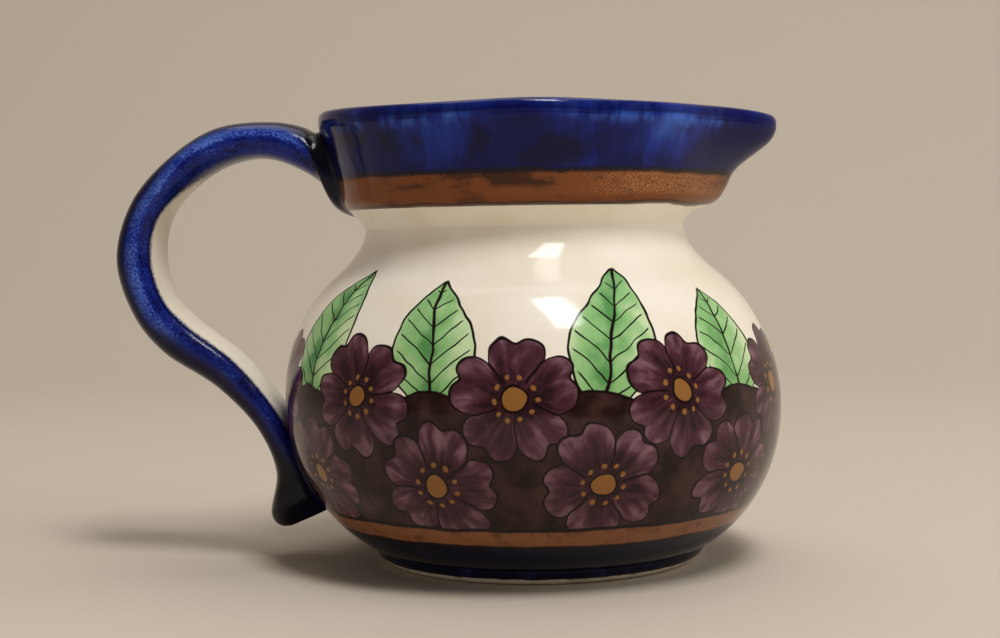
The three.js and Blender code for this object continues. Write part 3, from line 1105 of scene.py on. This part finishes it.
def bellyGlaze():
    size = border
    material, tree = openGlaze("bellyGlaze")
    spot, height, girth, turn = findPlace(tree)
    rise = mark(tree, "rise")
    inputs = {"Vector": spot, "Scale": 1 / size["wobbleSize"]}
    wander = nodeWire(tree, "ShaderNodeTexNoise", inputs, output="Color")
    driftX, driftY, driftZ = [part.swing(size["wobble"] * 2.0) for part in splitVector(tree, wander)]
    wash = mottle(tree, spot, size["washSize"], 4.0)
    ink = (mottle(tree, spot, size["inkSize"]) + 0.5) * size["ink"]
    colour = creamColour(tree, spot)

    up = rise + driftY
    across, cell = repeatRound(girth, turn, 0.5)
    leafAcross = across + driftX
    colour = paintLeaves(tree, colour, leafAcross, up - size["leafFoot"], cell, wash, ink)

    wave = (turn * size["repeats"]).do("COSINE") * size["groundWave"] + size["groundTop"]
    ground = lay(tree, size["ground"], size["groundWash"], wash.fade(*size["groundRange"]))
    over = up - wave
    colour = lay(tree, colour, ground, over.below(0.0, size["groundSoft"]))
    colour = lay(tree, colour, size["inkColour"], stroke(abs(over), ink))

    flowerAcross, flowerCell = repeatRound(girth, turn, 0.0)
    upper = (flowerAcross + driftX, up - size["upperRow"], flowerCell)
    colour = paintBlossoms(tree, colour, *upper, size["upperSeed"], wash, ink)
    lower = (leafAcross, up - size["lowerRow"], cell)
    colour = paintBlossoms(tree, colour, *lower, size["lowerSeed"], wash, ink)

    level = height + driftZ * size["bandWobble"]
    blotch = mottle(tree, spot, size["rustSize"], 4.0)
    rust = lay(tree, size["rustDark"], size["rust"], blotch.fade(*size["rustRange"]))
    colour = lay(tree, colour, rust, level.below(size["rustTop"], size["soft"]))
    navy = lay(tree, size["navy"], size["navyThin"], wash.fade(*size["navyRange"]))
    colour = lay(tree, colour, navy, level.below(size["rustFoot"], size["soft"]))
    edges = [stroke(abs(level - size[edge]), size["bandInk"]) for edge in ("rustTop", "rustFoot")]
    colour = lay(tree, colour, size["inkColour"], strongest(*edges))
    within = rise.fade(size["seam"] - size["seamSoft"], size["seam"])
    beneath = girth.fade(size["under"], size["under"] - size["underSoft"])
    colour = lay(tree, colour, creamColour(tree, spot), strongest(within, beneath))
    finishCream(tree, spot, colour)
    return material


# Foot: navy glaze down to a ragged line, bare clay below it and inside the ring
footPaint = dict(
    glazeFoot=footSizes["glazeFoot"] / mm,
    glazeSoft=0.08,
    ragged=0.7,
    inside=(footSizes["standRadius"] - footSizes["width"] / 2) / mm,
    insideSoft=0.2,
    grainSize=0.5,
    grainRange=(0.6, 0.75),
    grainShare=0.6,
    stainSize=3.0,
    stainRange=(0.5, 0.8),
    rough=0.85,
    glossy=0.1,
    grainDepth=0.03,
    clay=tint("#d6c9b2"),
    clayDark=tint("#a39077"),
    navy=tint("#0c0d1f"),
    navyThin=tint("#23284f"),
)


def footClay():
    size = footPaint
    material, tree = openGlaze("footClay")
    spot, height, girth, _ = findPlace(tree)
    grain = mottle(tree, spot, size["grainSize"], 3.0)
    stain = mottle(tree, spot, size["stainSize"], 3.0)
    stained = stain.fade(*size["stainRange"])
    clay = lay(tree, size["clay"], size["clayDark"], stained)
    clay = lay(tree, clay, size["clayDark"], grain.fade(*size["grainRange"]) * size["grainShare"])
    navy = lay(tree, size["navy"], size["navyThin"], stained)
    level = height + stain.swing(size["ragged"])
    glazed = level.above(size["glazeFoot"], size["glazeSoft"])
    glazed = glazed * girth.above(size["inside"], size["insideSoft"])
    colour = lay(tree, clay, navy, glazed)
    rough = size["rough"] - glazed * (size["rough"] - size["glossy"])
    finishGlaze(tree, colour, rough, grain, size["grainDepth"])
    return material


# Collar glaze: brushed cobalt over a rust band, with cream below and inside
collarPaint = dict(
    rustTop=70.5,
    rustFoot=65.0,
    blueTop=79.9,
    waver=1.1,  # of the bands' edges
    inside=7.0,  # along the profile, inwards from the rim's crown
    insideWaver=5.0,
    insideSoft=0.6,
    cloudSize=9.0,
    patchSize=15.0,
    patchStretch=(1, 1, 1.5),
    streakSize=1.7,
    streakStretch=(1, 1, 0.22),
    fineSize=0.24,
    brushes=22.0,
    brushSize=5.0,
    brushWaver=0.5,
    loadShare=0.25,  # what thins the blue: the brush's load, its streaks, the height and broad patches
    streakShare=0.45,
    heightShare=0.3,
    heightRange=(0.1, 1.0),  # heights here are shares of the blue band
    patchShare=1.6,
    lipShade=0.35,  # and what deepens it: a painted shade round the lip, and the side towards the handle
    lipRange=(0.42, 0.2),  # radians from the lip's middle
    backShade=0.5,
    backRange=(2.0, 2.6),
    cobaltRange=(0.0, 0.6),
    thinRange=(0.5, 1.2),
    dripHeight=(0.74, 0.98),
    dripStreak=(0.36, 0.6),
    dripPatch=(0.38, 0.55),
    dripShare=0.55,
    coatSize=11.0,  # a second, darker coat in places
    coatRange=(0.49, 0.55),
    coatFoot=(0.02, 0.15),
    coatTop=(0.85, 0.7),
    coatShare=0.5,
    # a darker painted shade round the lip, below the top of the blue band
    lipTop=(0.95, 0.7),
    lipShare=0.15,
    crease=-3.3,  # along the profile, outwards from the rim's crown
    creaseWaver=0.6,
    creaseLine=0.7,
    creaseRange=(0.3, 0.7),
    creaseShare=0.8,
    rollFoot=(-0.2, 0.5),  # from the crease
    rollTop=(2.5, 1.5),
    rollSize=6.0,
    rollRange=(0.48, 0.92),
    rollShare=0.85,
    rustSize=6.0,
    rustStretch=(1, 1, 2),
    rustRange=(0.2, 0.48),
    grainTurn=-0.6,  # the side on which the rust is grainier
    grainSideRange=(0.8, 0.97),
    grainRange=(0.46, 0.6),
    grainRise=(0.8, 2.2),
    grainShare=0.1,
    grainSideShare=0.75,
    # dark smears on the rust's upper part, away from the grainy side: a painted reflection
    reflectionSize=11.0,
    reflectionRange=(0.46, 0.56),
    reflectionRise=(2.2, 3.4),
    reflectionShare=0.75,
    footSoft=0.15,
    footLine=0.5,
    footShare=0.9,
    feather=1.2,
    featherRange=(-0.5, 0.3),
    topLine=0.6,
    topShare=0.85,
    gloss=0.06,
    glossVary=0.1,
    glossSize=2.5,
    waveSize=6.0,
    waveDepth=0.1,
    streakDepth=0.5,  # of the wave's depth
    deep=tint("#070d4c"),
    cobalt=tint("#152a86"),
    thin=tint("#456ecc"),
    line=tint("#0c0a10"),
    rust=tint("#7a421e"),
    rustDark=tint("#3f2414"),
    grain=tint("#af7b4d"),
)


def collarGlaze():
    size = collarPaint
    material, tree = openGlaze("collarGlaze")
    spot, height, _, turn = findPlace(tree)
    rise = mark(tree, "rise")
    cloud = mottle(tree, spot, size["cloudSize"])
    patch = mottle(tree, spot, size["patchSize"], 1.0, size["patchStretch"])
    streak = mottle(tree, spot, size["streakSize"], 3.0, size["streakStretch"])
    fine = mottle(tree, spot, size["fineSize"], 1.0)
    level = height + cloud.swing(size["waver"])

    # brush loads side by side, each a little thinner or thicker than the last
    waver = mottle(tree, spot, size["brushSize"]).swing(size["brushWaver"])
    brush = turn * (size["brushes"] / math.tau) + waver
    load = chanceOf(tree, brush.do("FLOOR").do("FLOORED_MODULO", size["brushes"]), 0.0)
    up = (height - size["rustTop"]) / (size["blueTop"] - size["rustTop"])
    shadeUnderLip = abs(turn).fade(*size["lipRange"])
    back = abs(turn).fade(*size["backRange"])
    tone = load * size["loadShare"] + streak.swing(size["streakShare"])
    tone = tone + up.fade(*size["heightRange"]) * size["heightShare"] + patch.swing(size["patchShare"])
    # painted shade: the blue is deepened round the lip, and also towards the handle
    tone = tone - shadeUnderLip * size["lipShade"] - back * size["backShade"]
    blue = lay(tree, size["deep"], size["cobalt"], tone.fade(*size["cobaltRange"]))
    blue = lay(tree, blue, size["thin"], tone.fade(*size["thinRange"]))
    drips = up.fade(*size["dripHeight"]) * streak.fade(*size["dripStreak"])
    drips = drips * patch.fade(*size["dripPatch"])
    blue = lay(tree, blue, size["thin"], drips * size["dripShare"])
    coat = mottle(tree, spot, size["coatSize"], 1.0).fade(*size["coatRange"])
    coat = coat * up.fade(*size["coatFoot"]) * up.fade(*size["coatTop"])
    blue = lay(tree, blue, size["line"], coat * size["coatShare"])
    # more painted shade round the lip, below the top of the band
    blue = lay(tree, blue, size["line"], shadeUnderLip * up.fade(*size["lipTop"]) * size["lipShare"])

    # the rim's roll, and the thick glaze in the groove under it
    overCrease = rise - size["crease"]
    rolled = overCrease.fade(*size["rollFoot"]) * rise.fade(*size["rollTop"])
    roll = mottle(tree, spot, size["rollSize"], 3.0).fade(*size["rollRange"])
    rollBlue = lay(tree, size["deep"], size["cobalt"], roll)
    blue = lay(tree, blue, rollBlue, rolled * size["rollShare"])
    groove = stroke(abs(overCrease + cloud.swing(size["creaseWaver"])), size["creaseLine"])
    groove = groove * cloud.fade(*size["creaseRange"])
    blue = lay(tree, blue, size["deep"], groove * size["creaseShare"])

    # the rust band, grainier on one side, with dark smears on the other side that are a painted
    # reflection
    overFoot = level - size["rustFoot"]
    blotch = mottle(tree, spot, size["rustSize"], 3.0, size["rustStretch"])
    rust = lay(tree, size["rustDark"], size["rust"], blotch.fade(*size["rustRange"]))
    grainSide = (turn - size["grainTurn"]).do("COSINE").fade(*size["grainSideRange"])
    grainy = fine.fade(*size["grainRange"]) * overFoot.fade(*size["grainRise"])
    grainy = grainy * (grainSide * size["grainSideShare"] + size["grainShare"])
    rust = lay(tree, rust, size["grain"], grainy)
    # a painted dark reflection over the upper rust
    reflectionSmear = mottle(tree, spot, size["reflectionSize"], 4.0, size["rustStretch"])
    reflectionSmear = reflectionSmear.fade(*size["reflectionRange"]) * overFoot.fade(*size["reflectionRise"])
    rust = lay(tree, rust, size["line"], reflectionSmear * (1.0 - grainSide) * size["reflectionShare"])

    colour = creamColour(tree, spot)
    colour = lay(tree, colour, rust, overFoot.above(0.0, size["footSoft"]))
    footLine = stroke(abs(overFoot), size["footLine"])
    colour = lay(tree, colour, size["rustDark"], footLine * size["footShare"])
    feather = level + fine.swing(size["feather"]) - size["rustTop"]
    colour = lay(tree, colour, blue, feather.fade(*size["featherRange"]))
    topLine = stroke(abs(feather), size["topLine"])
    colour = lay(tree, colour, size["line"], topLine * size["topShare"])
    within = rise + streak.swing(size["insideWaver"])
    within = within.above(size["inside"], size["insideSoft"])
    colour = lay(tree, colour, creamColour(tree, spot), within)

    relief = streak * size["streakDepth"] + mottle(tree, spot, size["waveSize"], 1.0)
    rough = mottle(tree, spot, size["glossSize"]) * size["glossVary"] + size["gloss"]
    finishGlaze(tree, colour, rough, relief, size["waveDepth"])
    return material


# Handle glaze: speckled cobalt, nearly black at the ends, cream on the inside of the loop.
# Places along the strap are counted in stations. Across it they run from
# -1 inside the loop to 1 outside it
handlePaint = dict(
    cloudSize=5.0,
    cloudShare=1.2,
    grainSize=0.45,
    grainShare=1.5,
    base=0.25,
    crownStart=2.1,
    crownStartSoft=0.3,
    crownEnd=5.0,
    crownEndSoft=0.6,
    turnRange=(-0.5, 1.0),  # from the crown's end
    armStart=8.6,
    armSoft=0.7,
    shine=0.1,  # middle of the paler stripe, a glaze break along the strap that is partly a painted highlight
    crownShine=0.35,  # and how far it moves out on the crown
    shineWidth=0.45,
    shineShare=0.2,
    shineMore=0.3,  # on the crown and the turn, as a painted sheen
    cobaltRange=(-0.1, 0.4),
    thinRange=(0.45, 1.1),
    edgeCloud=0.5,
    edgeGrain=0.6,
    edgeShift=0.3,  # inwards on the arm, outwards on the crown: painted shade, deeper on the lower arm and lighter on the crown
    edgeRange=(-0.05, 0.6),
    edgeShare=0.9,
    # the whole arm darkened towards the edge colour, a painted shade
    armShadeShare=0.35,
    endWaver=0.8,
    rootRange=(2.2, 1.5),
    tailRange=(10.9, 11.8),
    endShare=0.95,
    creamEdge=-0.72,
    creamTurn=0.32,  # how far the cream's edge turns under near the root
    creamStart=(4.0, 6.5),
    creamGrain=0.1,
    creamRange=(0.05, -0.07),
    creamEnd=10.75,
    creamEndSoft=0.4,
    creamLine=0.06,  # a dark line just outside the cream
    lineWidth=0.1,
    lineShare=0.8,
    gloss=0.08,
    glossVary=0.1,
    waveDepth=0.08,
    grainDepth=0.4,  # of the wave's depth
    deep=tint("#0a0e45"),
    cobalt=tint("#182a84"),
    thin=tint("#5a79d0"),
    edge=tint("#160f18"),
    black=tint("#0b0910"),
)


def handleGlaze():
    size = handlePaint
    material, tree = openGlaze("handleGlaze")
    spot, _, _, _ = findPlace(tree)
    face = mark(tree, "face")
    along = mark(tree, "along") * (len(handleStations()) - 1.0)
    cloud = mottle(tree, spot, size["cloudSize"], 3.0)
    grain = mottle(tree, spot, size["grainSize"])
    crown = along.above(size["crownStart"], size["crownStartSoft"])
    crown = crown * along.below(size["crownEnd"], size["crownEndSoft"])
    arm = along.above(size["armStart"], size["armSoft"])
    turning = (along - size["crownEnd"]).fade(*size["turnRange"]) * (1.0 - arm)
    # a paler stripe along the strap, partly a glaze break and partly a painted highlight that moves out
    # on the crown
    breakAndSheen = stroke(abs(face - size["shine"] - crown * size["crownShine"]), size["shineWidth"])
    tone = cloud.swing(size["cloudShare"]) + grain.swing(size["grainShare"]) + size["base"]
    # brighter on the crown and the turn: a painted sheen
    tone = tone + breakAndSheen * ((turning + crown) * size["shineMore"] + size["shineShare"])
    blue = lay(tree, size["deep"], size["cobalt"], tone.fade(*size["cobaltRange"]))
    blue = lay(tree, blue, size["thin"], tone.fade(*size["thinRange"]))

    outer = face + cloud.swing(size["edgeCloud"]) + grain.swing(size["edgeGrain"])
    # the dark outer edge widens on the arm and narrows on the crown, and the whole arm darkens: painted
    # shade
    outer = outer + (arm - crown) * size["edgeShift"]
    dark = outer.fade(*size["edgeRange"]) * size["edgeShare"]
    blue = lay(tree, blue, size["edge"], strongest(dark, arm * size["armShadeShare"]))
    wander = along + cloud.swing(size["endWaver"])
    ends = strongest(wander.fade(*size["rootRange"]), wander.fade(*size["tailRange"]))
    blue = lay(tree, blue, size["black"], ends * size["endShare"])

    turned = (1.0 - along.fade(*size["creamStart"])) * size["creamTurn"]
    bare = face + turned + grain.swing(size["creamGrain"]) - size["creamEdge"]
    line = stroke(abs(bare - size["creamLine"]), size["lineWidth"])
    blue = lay(tree, blue, size["deep"], line * size["lineShare"])
    bare = bare.fade(*size["creamRange"]) * along.below(size["creamEnd"], size["creamEndSoft"])
    colour = lay(tree, blue, creamColour(tree, spot), bare)
    rough = grain * size["glossVary"] + size["gloss"]
    finishGlaze(tree, colour, rough, cloud + grain * size["grainDepth"], size["waveDepth"])
    return material


makeBelly(bellyGlaze())
makeFootRing(footClay())
makeNeckSlip(neckGlaze())
makeCollar(collarGlaze())
strapGlaze = handleGlaze()
makeHandle(strapGlaze)
makeBeads(strapGlaze)
print("pieces glazed")


# Studio: a round sweep of pale paper, soft lamps and an even sky
studio = dict(
    paper=(0.55, 0.475, 0.385),
    middle=-1.1,  # the sweep's centre lies in front of the jug
    radius=2.0,
    height=1.6,
    bend=0.5,
    bendSteps=24,
    turns=128,
    rough=0.9,
    sky=0.15,
    skyColour=(1, 0.98, 0.95),
    aim=0.6,  # the lamps point at this share of the belly's height
)
lamps = {
    "keyLamp": dict(place=(0.25, -0.39, 1.02), size=(0.22, 0.44), power=6.8, shines=True),
    "sideLamp": dict(place=(1.0, -0.25, 0.5), size=(0.8, 0.8), power=4.5, shines=False),
    "fillLamp": dict(place=(-0.5, -1.0, 0.12), size=(0.8, 0.3), power=1.8, shines=False),
    "topLamp": dict(place=(0.0, 0.3, 1.2), size=(0.9, 0.9), power=4.5, shines=True),
}


def makeSweep():
    size = studio
    bend = size["bend"]
    curve = arc((size["radius"] - bend, bend), (bend, bend), -math.pi / 2, 0, size["bendSteps"])
    radius, height = np.vstack(((0, 0), curve, (size["radius"], size["height"]))).T
    count, turns = len(radius), size["turns"]
    points, faces = [], []
    for i in range(turns):
        turn = math.tau * i / turns
        here, ahead = i * count, (i + 1) % turns * count
        points += zip(radius * math.cos(turn), size["middle"] + radius * math.sin(turn), height)
        faces += [(here + k, ahead + k, ahead + k + 1, here + k + 1) for k in range(count - 1)]
    mesh = bpy.data.meshes.new("paperSweep")
    mesh.from_pydata(points, [], faces)
    mesh.shade_smooth()
    paper, tree = openGlaze("paper")
    shader = tree.nodes["Principled BSDF"]
    shader.inputs["Base Color"].default_value = (*size["paper"], 1)
    shader.inputs["Roughness"].default_value = size["rough"]
    mesh.materials.append(paper)
    sweep = bpy.data.objects.new("paperSweep", mesh)
    bpy.context.scene.collection.objects.link(sweep)


def makeLamps():
    target = Vector((jug["axis"], 0, jug["seamHeight"] * studio["aim"]))
    for name, lamp in lamps.items():
        data = bpy.data.lights.new(name, "AREA")
        data.shape = "RECTANGLE"
        data.size, data.size_y = lamp["size"]
        data.energy = lamp["power"]
        light = bpy.data.objects.new(name, data)
        place = Vector(lamp["place"])
        aim = (target - place).to_track_quat("-Z", "Y").to_matrix().to_4x4()
        light.matrix_world = Matrix.Translation(place) @ aim
        light.visible_glossy = lamp["shines"]
        bpy.context.scene.collection.objects.link(light)
    world = bpy.data.worlds.new("studioSky")
    world.use_nodes = True
    background = world.node_tree.nodes["Background"]
    background.inputs["Color"].default_value = (*studio["skyColour"], 1)
    background.inputs["Strength"].default_value = studio["sky"]
    bpy.context.scene.world = world


makeSweep()
makeLamps()
bpy.context.scene.view_settings.view_transform = "Standard"
print("studio lit")
